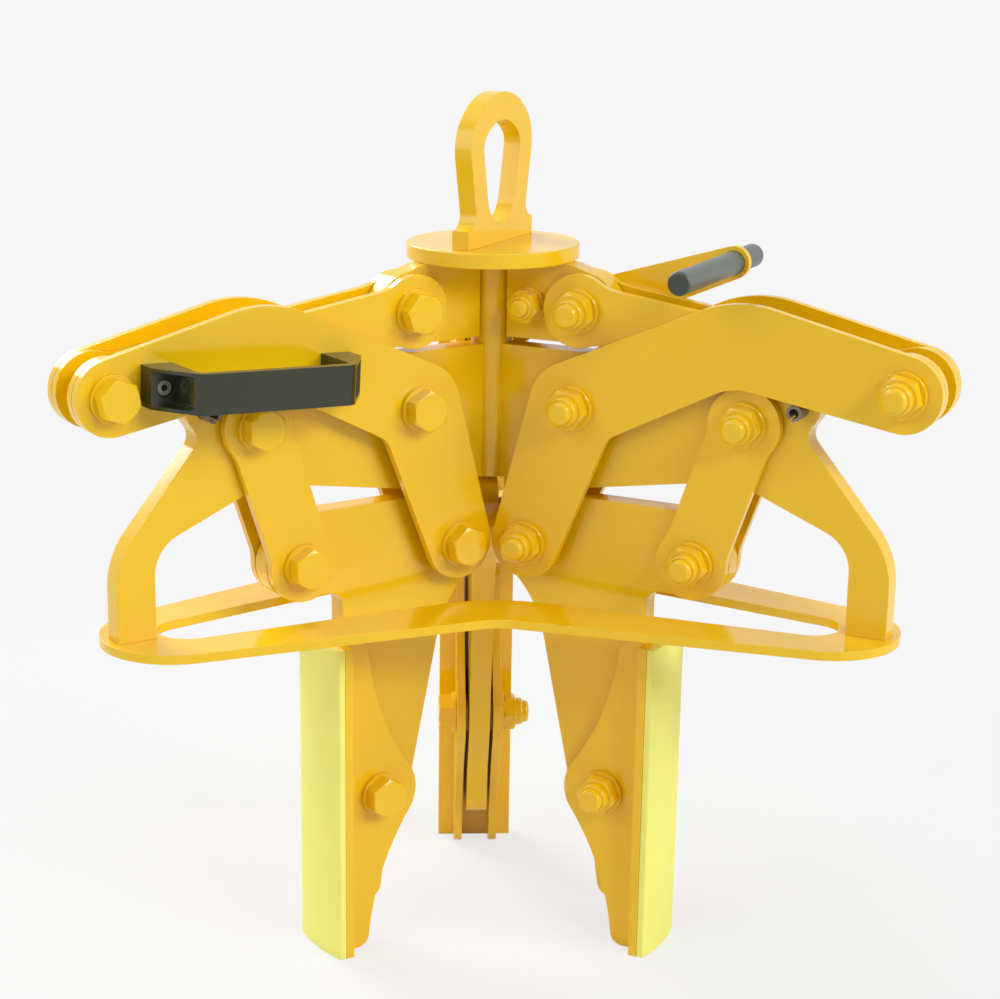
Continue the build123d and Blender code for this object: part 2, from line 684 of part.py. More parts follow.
def star_plate():
    """Star-shaped foot plate of the frame, with an opening for the legs."""
    base = Plane.XY.offset(level(-STAR_DROP - STAR_SHEET))
    with BuildPart() as star:
        extrude(
            trefoil(base, HORN_OUTER + STAR_RIM_OUT, STAR_LOBE, STAR_FLARE, STAR_CROTCH),
            amount=STAR_SHEET,
        )
        extrude(
            trefoil(base, HORN_INNER - STAR_RIM_IN, STAR_SLOT, STAR_SLOT_FLARE, STAR_SLOT_CROTCH),
            amount=STAR_SHEET,
            mode=Mode.SUBTRACT,
        )
    return star.part


def centre_tube():
    """Tube that the frame webs are welded to and the head slides in."""
    with BuildPart() as tube:
        with BuildSketch(Plane.XY.offset(level(-TUBE_DROP))):
            Circle(TUBE_RADIUS)
            Circle(TUBE_RADIUS - TUBE_WALL, mode=Mode.SUBTRACT)
        extrude(amount=TUBE_DROP + DISC_UNDERSIDE - STOP_PLAY)
    return tube.part


def stop_pins():
    """Slotted spring pins through the three frame webs."""
    with BuildPart() as pins:
        with BuildSketch(*[arm_plane(0, angle) for angle in ARMS.values()]):
            with Locations(STOP_PIN_AXIS):
                Circle(STOP_PIN_RADIUS)
                Circle(STOP_PIN_BORE, mode=Mode.SUBTRACT)
                slot_place = (Align.MIN, Align.CENTER)
                Rectangle(
                    STOP_PIN_RADIUS,
                    STOP_PIN_SLOT,
                    rotation=STOP_PIN_SLOT_TURN,
                    align=slot_place,
                    mode=Mode.SUBTRACT,
                )
        extrude(amount=CRANK_BACK, both=True)
    return pins.part


def eye_centres():
    """Centres of the arcs at the sole, shoulder and crown of the lifting eye's opening."""
    crown = Vector(0, EYE_SEAT_RISE - EYE_SEAT_ROUND)
    drop = EYE_SEAT_ROUND - EYE_SHOULDER_ROUND
    shoulder = crown + Vector(EYE_SHOULDER_OUT, sqrt(drop ** 2 - EYE_SHOULDER_OUT ** 2))
    return Vector(0, EYE_SOLE_RISE + EYE_SOLE_ROUND), shoulder, crown


def eye_outline(plane, grow):
    """Outline of the lifting eye's opening, or of the band round it when it is grown."""
    sole, shoulder, crown = eye_centres()
    lower, upper = tangent(sole, EYE_SOLE_ROUND + grow, shoulder, EYE_SHOULDER_ROUND + grow)
    side_lean = bearing(sole, lower)
    crown_lean = bearing(crown, shoulder)
    with BuildSketch(plane) as face:
        with BuildLine():
            CenterArc(sole, EYE_SOLE_ROUND + grow, -90, side_lean + 90)
            Line(lower, upper)
            CenterArc(shoulder, EYE_SHOULDER_ROUND + grow, side_lean, crown_lean - side_lean)
            CenterArc(crown, EYE_SEAT_ROUND + grow, crown_lean, 90 - crown_lean)
            mirror(about=Plane.YZ)
        make_face()
    return face.sketch


def lifting_eye():
    """Eye plate on the head's disc: a band of even width round a tapered opening, on a flared foot."""
    turn = radians(EYE_TURN)
    through = Vector(sin(turn), -cos(turn), 0)
    upright = Plane(origin=(0, 0, level(DISC_TOP)), x_dir=(cos(turn), sin(turn), 0), z_dir=through)
    half = EYE_SHEET / 2
    sole, shoulder, _ = eye_centres()
    lower, upper = tangent(sole, EYE_SOLE_ROUND + EYE_BAND, shoulder, EYE_SHOULDER_ROUND + EYE_BAND)
    waist = lower + (upper - lower) * ((EYE_FOOT_RISE - lower.Y) / (upper.Y - lower.Y))
    with BuildPart() as eye:
        extrude(eye_outline(upright, EYE_BAND), amount=half, both=True)
        split(bisect_by=Plane.XY.offset(level(DISC_TOP)), keep=Keep.TOP)
        with BuildSketch(upright):
            corners = [(-waist.X, waist.Y), (waist.X, waist.Y), (lower.X, lower.Y), (-lower.X, lower.Y)]
            Polygon(*corners, align=None)
            Rectangle(EYE_FOOT_LENGTH, EYE_FOOT_RISE, align=(Align.CENTER, Align.MIN))
        extrude(amount=half, both=True)
        foot_top = level(DISC_TOP + EYE_FOOT_RISE)
        crosswise = eye.edges().filter_by(Axis((0, 0, 0), through))
        toes = crosswise.filter_by_position(Axis.Z, foot_top - FACE_PLAY, foot_top + FACE_PLAY)
        fillet(toes.sort_by_distance((0, 0, foot_top))[:2], EYE_FOOT_ROUND)
        extrude(eye_outline(upright, 0), amount=half, both=True, mode=Mode.SUBTRACT)
    return eye.part


def head_disc():
    """Disc between the lifting eye and the head webs."""
    with BuildPart() as disc:
        with BuildSketch(Plane.XY.offset(level(DISC_UNDERSIDE))):
            Circle(DISC_RADIUS)
        extrude(amount=DISC_SHEET)
        chamfer(disc.edges(), DISC_EDGE)
    return disc.part


def guide_rod():
    """Rod under the head's disc that slides in the frame's tube."""
    with BuildPart() as rod:
        with BuildSketch(Plane.XY.offset(level(-ROD_DROP))):
            Circle(TUBE_RADIUS - TUBE_WALL - SLIDE_PLAY)
        extrude(amount=ROD_DROP + DISC_UNDERSIDE)
        chamfer(rod.edges().group_by(Axis.Z)[0], ROD_CHAMFER)
    return rod.part


def lever_stop_bolt():
    """Bolt through the lock arm's head web, with the sleeve that the lever's tail rests against."""
    with BuildPart() as stop:
        add(bolt_and_nut(STOP_BOLT_AXIS, LEVER_BACK, WEB_FACE, STOP_BOLT))
        sleeve = LEVER_BACK - WEB_FACE - FACE_PLAY
        bore = STOP_BOLT_RADIUS + PIVOT_PLAY
        add(ring(STOP_BOLT_AXIS, -WEB_FACE - sleeve, sleeve, STOP_SLEEVE_RADIUS, bore))
    return stop.part


def lock_lever():
    """Hand lever on the head pivot of the lock arm, with a hook on its tail."""
    along = polar(1, 180 + LEVER_TAIL_FALL)
    across = polar(1, 270 + LEVER_TAIL_FALL)
    hook_start = CATCH_ALONG + CATCH_RADIUS + STOP_PLAY
    hook_end = hook_start + LEVER_HOOK_DEPTH
    tail = [
        (0, -LEVER_TAIL_HALF_WIDTH, 0),
        (hook_end, -LEVER_TAIL_HALF_WIDTH, LEVER_HOOK_ROUND),
        (hook_end, CATCH_ACROSS, LEVER_HOOK_ROUND),
        (hook_start, CATCH_ACROSS, 0),
        (hook_start, LEVER_TAIL_HALF_WIDTH, LEVER_HOOK_ROUND),
        (0, LEVER_TAIL_HALF_WIDTH, 0),
    ]
    tail_stations = [(PIVOT_HEAD + along * out + across * side, 0, turn) for out, side, turn in tail]
    bar_stations = [(LEVER_LOOP_AXIS, LEVER_LOOP, 0), (PIVOT_HEAD, LEVER_EYE, 0)]
    plane = arm_plane(-LEVER_BACK)
    with BuildPart() as lever:
        extrude(outline(bar_stations, [], plane), amount=LEVER_SHEET)
        extrude(outline(tail_stations, [], plane), amount=LEVER_SHEET)
        with BuildSketch(plane):
            with Locations(PIVOT_HEAD):
                Circle(HEAD_PIVOT_HOLE)
            with Locations(LEVER_LOOP_AXIS):
                Circle(GRIP_RADIUS + FACE_PLAY)
        extrude(amount=LEVER_SHEET, mode=Mode.SUBTRACT)
    return lever.part


def lever_grip():
    """Round bar through the lever's loop, across the arm."""
    with BuildPart() as grip:
        with BuildSketch(arm_plane(GRIP_NUT_SIDE - GRIP_LENGTH)):
            with Locations(LEVER_LOOP_AXIS):
                Circle(GRIP_RADIUS)
        extrude(amount=GRIP_LENGTH)
        fillet(grip.edges().filter_by(GeomType.CIRCLE), GRIP_EDGE)
    return grip.part


def catch_pin():
    """Pin in the lock arm's frame web that the raised lever's hook swings under."""
    with BuildPart() as pin:
        with BuildSketch(arm_plane(-LEVER_BACK - STOP_PLAY)):
            with Locations(CATCH_AXIS):
                Circle(CATCH_RADIUS)
        extrude(amount=LEVER_BACK + STOP_PLAY - WEB_FACE + CATCH_DEPTH)
    return pin.part


def save(piece, name, angle=0):
    """Turn a piece to its arm and write it under its name."""
    placed = piece.rotate(Axis.Z, angle)
    placed.label = name
    export_step(placed, f"parts/{name}.step")


os.makedirs("parts", exist_ok=True)

save(star_plate(), "star_plate")
save(centre_tube(), "centre_tube")
save(stop_pins(), "stop_pins")
save(lifting_eye(), "lifting_eye")
save(head_disc(), "head_disc")
save(guide_rod(), "guide_rod")

upper_links = pair_of_plates(
    strap(
        PIVOT_LINK, LINK_CRANK_EYE, PIVOT_HEAD, LINK_HEAD_EYE,
        LINK_HALF_WIDTH, LINK_NECK, arm_plane(LINK_FACE),
    ),
    LINK_SHEET,
)
outer_links = pair_of_plates(
    strap(
        PIVOT_FRAME_LINK, OUTER_LINK_EYE, PIVOT_LEG_LINK, OUTER_LINK_EYE,
        OUTER_LINK_HALF_WIDTH, OUTER_LINK_NECK, arm_plane(LINK_FACE),
    ),
    LINK_SHEET,
)
arm_pieces = {
    "crank_bushes": crank_bushes(),
    "crank_bolts": large_bolts([PIVOT_CRANK, PIVOT_LEG, PIVOT_LINK], CRANK_BACK, CRANK_BACK),
    "upper_links": upper_links,
    "outer_links": outer_links,
    "outer_link_bolts": large_bolts([PIVOT_FRAME_LINK, PIVOT_LEG_LINK], LINK_BACK, LINK_BACK),
    "leg_plate": leg_plate(),
    "shoe_cheeks": shoe_cheeks(),
    "shoe_plate": shoe_plate(),
    "shoe_pad": shoe_pad(),
    "shoe_bolt": shoe_bolt(),
}
for arm, angle in ARMS.items():
    locks = arm == LOCK_ARM
    save(frame_web(locks), f"{arm}_frame_web", angle)
    save(head_web(locks), f"{arm}_head_web", angle)
    save(crank_plates(arm == HANDLE_ARM), f"{arm}_crank_plates", angle)
    head_reach = LEVER_BACK + FACE_PLAY if locks else LINK_BACK
    save(large_bolts([PIVOT_HEAD], head_reach, LINK_BACK), f"{arm}_link_bolt", angle)
    for name, piece in arm_pieces.items():
        save(piece, f"{arm}_{name}", angle)

save(bow_handle(), f"{HANDLE_ARM}_bow_handle", ARMS[HANDLE_ARM])
save(handle_screws(), f"{HANDLE_ARM}_handle_screws", ARMS[HANDLE_ARM])
save(lock_lever(), "lock_lever", ARMS[LOCK_ARM])
save(lever_grip(), "lever_grip", ARMS[LOCK_ARM])
save(lever_stop_bolt(), "lever_stop_bolt", ARMS[LOCK_ARM])
save(catch_pin(), "catch_pin", ARMS[LOCK_ARM])
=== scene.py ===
import json
from collections import namedtuple
from functools import partial
from math import cos, pi, radians, sin, tan

import bpy
from bpy.props import FloatProperty, FloatVectorProperty, PointerProperty
from mathutils import Matrix, Vector

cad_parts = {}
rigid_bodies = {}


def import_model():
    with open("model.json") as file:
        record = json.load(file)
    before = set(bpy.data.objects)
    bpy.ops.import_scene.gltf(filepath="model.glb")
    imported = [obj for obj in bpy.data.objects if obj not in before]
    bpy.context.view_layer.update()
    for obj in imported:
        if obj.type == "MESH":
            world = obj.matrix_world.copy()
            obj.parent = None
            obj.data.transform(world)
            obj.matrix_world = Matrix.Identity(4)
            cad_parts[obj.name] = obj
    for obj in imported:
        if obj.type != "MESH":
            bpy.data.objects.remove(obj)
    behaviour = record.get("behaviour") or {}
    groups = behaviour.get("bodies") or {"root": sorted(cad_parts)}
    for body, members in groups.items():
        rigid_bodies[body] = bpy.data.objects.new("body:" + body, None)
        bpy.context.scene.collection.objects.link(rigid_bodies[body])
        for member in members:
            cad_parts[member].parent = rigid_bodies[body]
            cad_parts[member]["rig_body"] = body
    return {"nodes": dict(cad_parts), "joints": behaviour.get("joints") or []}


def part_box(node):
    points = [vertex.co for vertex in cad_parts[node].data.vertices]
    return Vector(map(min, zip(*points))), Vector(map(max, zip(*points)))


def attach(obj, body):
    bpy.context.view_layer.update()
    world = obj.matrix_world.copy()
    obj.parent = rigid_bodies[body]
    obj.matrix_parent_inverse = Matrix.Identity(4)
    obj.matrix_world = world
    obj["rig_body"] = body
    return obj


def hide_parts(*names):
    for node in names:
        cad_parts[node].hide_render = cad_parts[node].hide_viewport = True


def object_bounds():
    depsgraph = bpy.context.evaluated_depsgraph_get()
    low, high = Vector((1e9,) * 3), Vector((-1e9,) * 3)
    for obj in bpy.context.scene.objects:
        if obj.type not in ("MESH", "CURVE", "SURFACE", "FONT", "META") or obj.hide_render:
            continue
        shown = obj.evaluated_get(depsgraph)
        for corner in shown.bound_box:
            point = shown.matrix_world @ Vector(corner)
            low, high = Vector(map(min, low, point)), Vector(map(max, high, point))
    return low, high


bl_info = {
    "name": "Internal lifting gripper",
    "version": (1, 0, 0),
    "blender": (4, 5, 0),
    "location": "3D View > Sidebar > Gripper",
    "description": "Finishes the three-arm lifting gripper and sets up its studio",
    "category": "Object",
}

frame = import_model()
CAD_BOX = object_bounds()
NODES = frame["nodes"]
JOINTS = {joint["name"]: joint for joint in frame["joints"]}

ARMS = ("left", "right", "rear")
LOCK_ARM = "right"
HANDLE_ARM = "left"

# Painted pieces of the frame and head, and those that each arm has
FRAME_PLATES = ("star_plate", "centre_tube", "lifting_eye", "head_disc", "guide_rod", "lock_lever")
ARM_PLATES = (
    "frame_web", "head_web", "crank_plates", "crank_bushes", "upper_links", "outer_links",
    "leg_plate", "shoe_cheeks", "shoe_plate",
)

# Turns of the bolts' heads and nuts about their axes, in degrees from the arm's outward direction
HEAD_TURNS = {
    "crank_bolts": (30.0, 21.0, 18.0),
    "outer_link_bolts": (30.0, 30.0),
    "link_bolt": (11.5,),
    "shoe_bolt": (30.0,),
}
NUT_TURNS = {
    "crank_bolts": (-8.0, -15.0, -14.0),
    "outer_link_bolts": (-7.0, -7.0),
    "link_bolt": (-17.5,),
    "shoe_bolt": (-7.0,),
}
STOP_BOLT_TURN = -8.0

# Steps round a turned piece and round one of its corners
ROUND = 60
CORNER_STEPS = 5
# Slope of the chamfer on a hexagon's corners, and radius of its flat face as a share of its width
HEX_LEAN = tan(radians(30))
CROWN = 0.492
# Corners of turned pieces that are sharper than this stay crisp
SHARP = radians(22)

# Sleeve of the lever's stop bolt, and gap between a leg and the washers beside it, in metres
SLEEVE_RADIUS = 0.008
SLEEVE_EDGE = 0.0004
LEG_GAP = 0.0001
# Depths below a screw's face at which the painted shade in its socket starts and is darkest, in metres
SOCKET_SHADE_START = 0.0004
SOCKET_SHADE_FULL = 0.0019

# How the edges of CAD pieces are joined and rounded
WELD_GAP = 0.000002
FLAT_ANGLE = radians(0.4)
EDGE_ANGLE = radians(38)
EDGE_STEPS = 2

# Place and width of each lamp, in metres
LAMPS = {
    "right": ((2.3, -1.3, 1.1), 1.4),
    "front": ((1.4, -2.2, 1.4), 0.6),
    "left": ((-1.6, -0.9, 0.75), 1.6),
    "top": ((0.0, -0.1, 1.9), 2.2),
    "back": ((-1.2, 1.5, 1.1), 1.3),
}

# Floor: half its width, how its own colour compares with the backdrop, and the distances from the middle
# between which its shadow fades, in metres, with the shadow's share at the nearer one
FLOOR_HALF = 30.0
FLOOR_TONE = 0.88
SHADOW_NEAR = 0.35
SHADOW_FAR = 1.1
SHADOW_SHARE = 0.3


# Shader sockets as Python values, and finishes

class Wire:
    """A shader socket that adds Math nodes where it is used in a sum; node() makes every other node."""

    def __init__(self, socket):
        self.socket = socket

    @classmethod
    def node(cls, tree, kind, settings=None, inputs=None, output=0):
        """Add a node, set its settings and then the values or links of its sockets."""
        made = tree.nodes.new(f"ShaderNode{kind}")
        for name, value in (settings or {}).items():
            setattr(made, name, value)
        for name, value in (inputs or {}).items():
            if isinstance(value, cls):
                tree.links.new(value.socket, made.inputs[name])
            else:
                made.inputs[name].default_value = value
        return cls(made.outputs[output]) if made.outputs else None

    def maths(self, operation, first, second):
        return self.node(self.socket.id_data, "Math", {"operation": operation}, {0: first, 1: second})

    def __add__(self, other):
        return self.maths("ADD", self, other)

    def __sub__(self, other):
        return self.maths("SUBTRACT", self, other)

    def __rsub__(self, other):
        return self.maths("SUBTRACT", other, self)

    def __mul__(self, other):
        return self.maths("MULTIPLY", self, other)

    __radd__ = __add__
    __rmul__ = __mul__


def new_material(name):
    """An empty material and the maker of its nodes."""
    material = bpy.data.materials.new(name)
    material.use_nodes = True
    material.node_tree.nodes.clear()
    return material, partial(Wire.node, material.node_tree)


def noise(node, place, scale, detail=2.0, roughness=0.5):
    """Soft noise from 0 to 1 at a scale given in waves per metre."""
    sockets = {"Vector": place, "Scale": scale, "Detail": detail, "Roughness": roughness}
    return node("TexNoise", None, sockets)


def blended(node, amount, first, second):
    """Colour between two others."""
    return node("Mix", {"data_type": "RGBA"}, {0: amount, 6: first, 7: second}, 2)


def toned(colour, factor):
    """A colour made lighter or darker."""
    return tuple(min(1.0, part * factor) for part in colour[:3]) + (1.0,)


def mottled(node, amount, colour, dark, light):
    """A colour that varies between a darker and a lighter tone of itself."""
    return blended(node, amount, toned(colour, dark), toned(colour, light))


def grained(node, height, strength, distance):
    """Normal of a surface with a fine relief; the distance is in metres."""
    return node("Bump", None, {"Strength": strength, "Distance": distance, "Height": height})


def coated(material, node, sockets):
    """Give a material its one shader."""
    shader = node("BsdfPrincipled", None, sockets)
    node("OutputMaterial", None, {"Surface": shader})
    return material


def painted_finish(name, look):
    """Glossy yellow paint with a faint orange peel and slightly uneven cover."""
    material, node = new_material(name)
    place = node("TexCoord", None, None, "Object")
    cloud = noise(node, place, 9.0, detail=3.0, roughness=0.55)
    peel = noise(node, place, 520.0)
    speck = noise(node, place, 1500.0, detail=1.0)
    return coated(material, node, {
        "Base Color": mottled(node, cloud * 0.8 + speck * 0.2, look.paint_colour, 0.93, 1.05),
        "Roughness": look.paint_roughness + (cloud - 0.5) * 0.10 + (peel - 0.5) * 0.08,
        "Normal": grained(node, peel, 0.05, 0.0004),
        "Specular IOR Level": 0.5,
    })


def pad_finish(name, look):
    """Pale matt polyurethane with a cast skin."""
    material, node = new_material(name)
    place = node("TexCoord", None, None, "Object")
    cloud = noise(node, place, 14.0, detail=3.0, roughness=0.6)
    grain = noise(node, place, 700.0, detail=3.0, roughness=0.6)
    return coated(material, node, {
        "Base Color": mottled(node, cloud * 0.7 + grain * 0.3, look.pad_colour, 0.94, 1.05),
        "Roughness": 0.58 + (grain - 0.5) * 0.16,
        "Normal": grained(node, grain, 0.16, 0.0004),
        "Specular IOR Level": 0.4,
    })


def moulding_finish(name, look):
    """Charcoal moulded plastic with a satin skin over a fine grain."""
    material, node = new_material(name)
    place = node("TexCoord", None, None, "Object")
    cloud = noise(node, place, 30.0)
    grain = noise(node, place, 600.0)
    return coated(material, node, {
        "Base Color": mottled(node, cloud, look.handle_colour, 0.9, 1.1),
        "Roughness": 0.22 + (grain - 0.5) * 0.06,
        "Normal": grained(node, grain, 0.05, 0.00003),
        "Specular IOR Level": 0.55,
    })


def bar_finish(name, look):
    """Slate coating of the lever's grip bar, with painted shade on its end faces."""
    material, node = new_material(name)
    place = node("TexCoord", None, None, "Object")
    normal = node("TexCoord", None, None, "Normal")
    cloud = noise(node, place, 40.0, detail=3.0, roughness=0.55)
    peel = noise(node, place, 800.0)
    coat = mottled(node, cloud, look.bar_colour, 0.88, 1.12)
    axis = arm_sides(LOCK_ARM)[2]
    along = node("VectorMath", {"operation": "DOT_PRODUCT"}, {0: normal, 1: axis}, "Value")
    return coated(material, node, {
        # Painted shade: faces that look along the bar's axis, its end faces, are darkened
        "Base Color": blended(node, along * along, coat, toned(look.bar_colour, 0.3)),
        "Roughness": 0.36 + (cloud - 0.5) * 0.16,
        "Normal": grained(node, peel, 0.10, 0.0003),
        "Specular IOR Level": 0.5,
    })


def steel_finish(name, base, metallic, roughness, hollow=None):
    """Worn steel; hollow gives an axis and the places along it between which painted shade darkens the
    steel.
    """
    material, node = new_material(name)
    place = node("TexCoord", None, None, "Object")
    cloud = noise(node, place, 60.0, detail=4.0, roughness=0.6)
    scratch = noise(node, place, 1200.0, detail=3.0, roughness=0.65)
    colour = mottled(node, cloud, base, 0.78, 1.18)
    # Painted shade: the colour darkens with depth along the axis, standing in for the shade inside a
    # screw's socket
    if hollow:
        axis, mouth, floor = hollow
        along = node("VectorMath", {"operation": "DOT_PRODUCT"}, {0: place, 1: axis}, "Value")
        socket_shade = node("MapRange", None, {"Value": along, "From Min": mouth, "From Max": floor})
        colour = blended(node, socket_shade, colour, toned(base, 0.08))
    return coated(material, node, {
        "Base Color": colour,
        "Metallic": metallic,
        "Roughness": roughness + (scratch - 0.5) * 0.2,
        "Normal": grained(node, scratch, 0.12, 0.0002),
    })


def pin_finish(name, look):
    """Oiled steel of the spring pins."""
    return steel_finish(name, look.pin_colour, metallic=0.35, roughness=0.42)


def screw_finish(name, look):
    """Zinc-plated steel of the socket screws, with painted shade down in their sockets."""
    face = reach_of(f"{HANDLE_ARM}_handle_screws", HANDLE_ARM)[0]
    # The socket's painted shade starts and is darkest at these depths below the screw's face
    hollow = arm_sides(HANDLE_ARM)[2], face + SOCKET_SHADE_START, face + SOCKET_SHADE_FULL
    return steel_finish(name, look.screw_colour, metallic=0.8, roughness=0.28, hollow=hollow)


FINISHES = {
    "yellow_paint": painted_finish, "friction_pad": pad_finish, "black_plastic": moulding_finish,
    "grip_bar": bar_finish, "spring_pin": pin_finish, "socket_screw": screw_finish,
}


def finish(kind):
    """The scene's one copy of a finish."""
    name = f"{kind}_finish"
    return bpy.data.materials.get(name) or FINISHES[kind](name, bpy.context.scene.gripper_look)


# Shapes of the pieces

def dress(name, material, edge):
    """Round the edges of one CAD piece and give it its finish."""
    piece = NODES[name]
    for slot in piece.material_slots:
        slot.material = material
    weld = piece.modifiers.new("joined corners", "WELD")
    weld.merge_threshold = WELD_GAP
    flat = piece.modifiers.new("whole faces", "DECIMATE")
    flat.decimate_type = "DISSOLVE"
    flat.angle_limit = FLAT_ANGLE
    if edge:
        rounding = piece.modifiers.new("rounded edges", "BEVEL")
        rounding.width = edge
        rounding.segments = EDGE_STEPS
        rounding.limit_method = "ANGLE"
        rounding.angle_limit = EDGE_ANGLE
    shade = piece.modifiers.new("even shading", "WEIGHTED_NORMAL")
    shade.keep_sharp = True
    for face in piece.data.polygons:
        face.use_smooth = True


def arm_sides(arm):
    """Outward, upward and nut-side directions of an arm."""
    side = Vector(JOINTS[f"{arm}_crank_turn"]["axis"])
    up = Vector((0, 0, 1))
    return up.cross(side), up, side


def pivot(arm, joint):
    """Place of a joint of an arm at rest."""
    return Vector(JOINTS[f"{arm}_{joint}"]["pos_m"])


def bolt_places(arm):
    """Axis of each bolt of an arm, by the piece that it replaces."""
    crank = pivot(arm, "crank_turn")
    frame_link = pivot(arm, "outer_link_turn")
    leg = pivot(arm, "leg_turn")
    link = pivot(arm, "upper_link_turn")
    head = crank + Vector((0, 0, 2 * (link.z - crank.z)))
    return {
        "crank_bolts": (crank, leg, link),
        "outer_link_bolts": (frame_link, frame_link + leg - crank),
        "link_bolt": (head,),
        "shoe_bolt": (pivot(arm, "shoe_rock"),),
    }


def circle(radius, offset):
    """Ring of a turned piece: its radius and place along the axis at each step round."""
    return [(radius, offset)] * ROUND


def hexagon(flats, offset, lean=0.0, face=0.0):
    """Hexagonal ring; a lean cuts its corners back like a chamfer, outside the radius of the face."""
    ring = []
    for step in range(ROUND):
        angle = 2 * pi * step / ROUND % (pi / 3) - pi / 6
        radius = flats / 2 / cos(angle)
        ring.append((radius, offset + lean * max(0.0, radius - face)))
    return ring


def rounded_end(radius, offset, corner):
    """Rings of a turned end with a rounded corner, from its side to its face."""
    rings = []
    for step in range(CORNER_STEPS + 1):
        angle = pi / 2 * step / CORNER_STEPS
        rings.append(circle(radius - corner * (1 - cos(angle)), offset - corner * (1 - sin(angle))))
    return rings


class Turned:
    """Mesh of pieces turned about one axis after another."""

    def __init__(self):
        self.points = []
        self.faces = []

    def add(self, rings, place, hollow=False):
        """Join rings from the head's end to the nut's end; a hollow piece closes on itself."""
        start = len(self.points)
        for ring in rings:
            for step, (radius, offset) in enumerate(ring):
                angle = 2 * pi * step / ROUND
                self.points.append(place @ Vector((radius * cos(angle), radius * sin(angle), offset)))
        count = len(rings)
        for level in range(count if hollow else count - 1):
            here = start + level * ROUND
            there = start + (level + 1) % count * ROUND
            for step in range(ROUND):
                beside = (step + 1) % ROUND
                self.faces.append((here + step, here + beside, there + beside, there + step))
        if not hollow:
            last = start + (count - 1) * ROUND
            self.faces.append(tuple(start + step for step in reversed(range(ROUND))))
            self.faces.append(tuple(last + step for step in range(ROUND)))

    def piece(self, name, material):
        """Object with the pieces made so far, smooth but for its corners."""
        mesh = bpy.data.meshes.new(name)
        mesh.from_pydata(self.points, [], self.faces)
        mesh.polygons.foreach_set("use_smooth", [True] * len(mesh.polygons))
        mesh.set_sharp_from_angle(angle=SHARP)
        mesh.materials.append(material)
        made = bpy.data.objects.new(name, mesh)
        bpy.context.scene.collection.objects.link(made)
        return made


def washer(turned, place, start, end, bore, radius, edge):
    """Flat ring with broken edges."""
    rings = [
        circle(bore, start), circle(radius - edge, start), circle(radius, start + edge),
        circle(radius, end - edge), circle(radius - edge, end), circle(bore, end),
    ]
    turned.add(rings, place, hollow=True)


def bolt(turned, place, reach, size, head_turn, nut_turn):
    """Hexagon bolt, washers and locking nut over the reach of the CAD bolt; the nut is at the far end."""
    head_face, tip = reach
    head_back = head_face + size.head
    collar_face = tip - size.tip
    nut_back = collar_face - size.collar
    nut_face = nut_back - size.nut
    crown = CROWN * size.flats
    bore = size.radius + size.play
    shank = [
        circle(crown, head_face),
        hexagon(size.flats, head_face, HEX_LEAN, crown),
        hexagon(size.flats, head_back),
        circle(size.radius, head_back),
    ]
    turned.add(shank + rounded_end(size.radius, tip, size.tip_round), place @ turned_by(head_turn))
    for start in (head_back, nut_face - size.washer):
        washer(turned, place, start, start + size.washer, bore, size.washer_radius, size.edge)
    nut = [
        circle(bore, nut_face),
        circle(crown, nut_face),
        hexagon(size.flats, nut_face, HEX_LEAN, crown),
        hexagon(size.flats, nut_back, -HEX_LEAN, crown),
        circle(crown, nut_back),
        circle(size.collar_radius, nut_back),
    ]
    collar = rounded_end(size.collar_radius, collar_face, size.collar_round)
    turned.add(nut + collar + [circle(bore, collar_face)], place @ turned_by(nut_turn), hollow=True)


def turned_by(degrees):
    """Turn about a bolt's own axis."""
    return Matrix.Rotation(radians(degrees), 4, "Z")


BoltSize = namedtuple(
    "BoltSize",
    "radius flats head nut collar collar_radius collar_round tip tip_round washer_radius washer edge play",
)
LARGE = BoltSize(
    radius=0.008, flats=0.024, head=0.010, nut=0.00875, collar=0.00525, collar_radius=0.010,
    collar_round=0.0017, tip=0.0046, tip_round=0.0026, washer_radius=0.015, washer=0.003,
    edge=0.0003, play=0.0001,
)
SMALL = BoltSize(
    radius=0.006, flats=0.019, head=0.0075, nut=0.010, collar=0.002, collar_radius=0.008,
    collar_round=0.0014, tip=0.003, tip_round=0.0020, washer_radius=0.012, washer=0.0025,
    edge=0.0003, play=0.0001,
)


def axis_frame(arm, centre):
    """Frame of a bolt: outward, up and towards its nut."""
    out, up, side = arm_sides(arm)
    return Matrix.Translation(centre) @ Matrix((out, up, side)).transposed().to_4x4()


def reach_of(name, arm):
    """Lowest and highest place of a piece along its arm's bolts."""
    side = arm_sides(arm)[2]
    places = [vertex.co.dot(side) for vertex in NODES[name].data.vertices]
    return min(places), max(places)


def seat(piece, name):
    """Let a new piece stand for a CAD piece and move with it."""
    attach(piece, NODES[name]["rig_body"])
    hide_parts(name)


# Sizes, colours and lights that a user may change

def colour_property(name, description, default):
    """Property for a colour."""
    return FloatVectorProperty(
        name=name, description=description, subtype="COLOR", size=3, min=0.0, max=1.0, default=default,
    )


def edge_property(name, description, largest, default):
    """Property for the rounding of edges."""
    return FloatProperty(
        name=name, description=description, subtype="DISTANCE", unit="LENGTH", min=0.0, max=largest,
        default=default,
    )


def power_property(name, description, default):
    """Property for the power of a lamp."""
    return FloatProperty(name=name, description=description, unit="POWER", min=0.0, default=default)


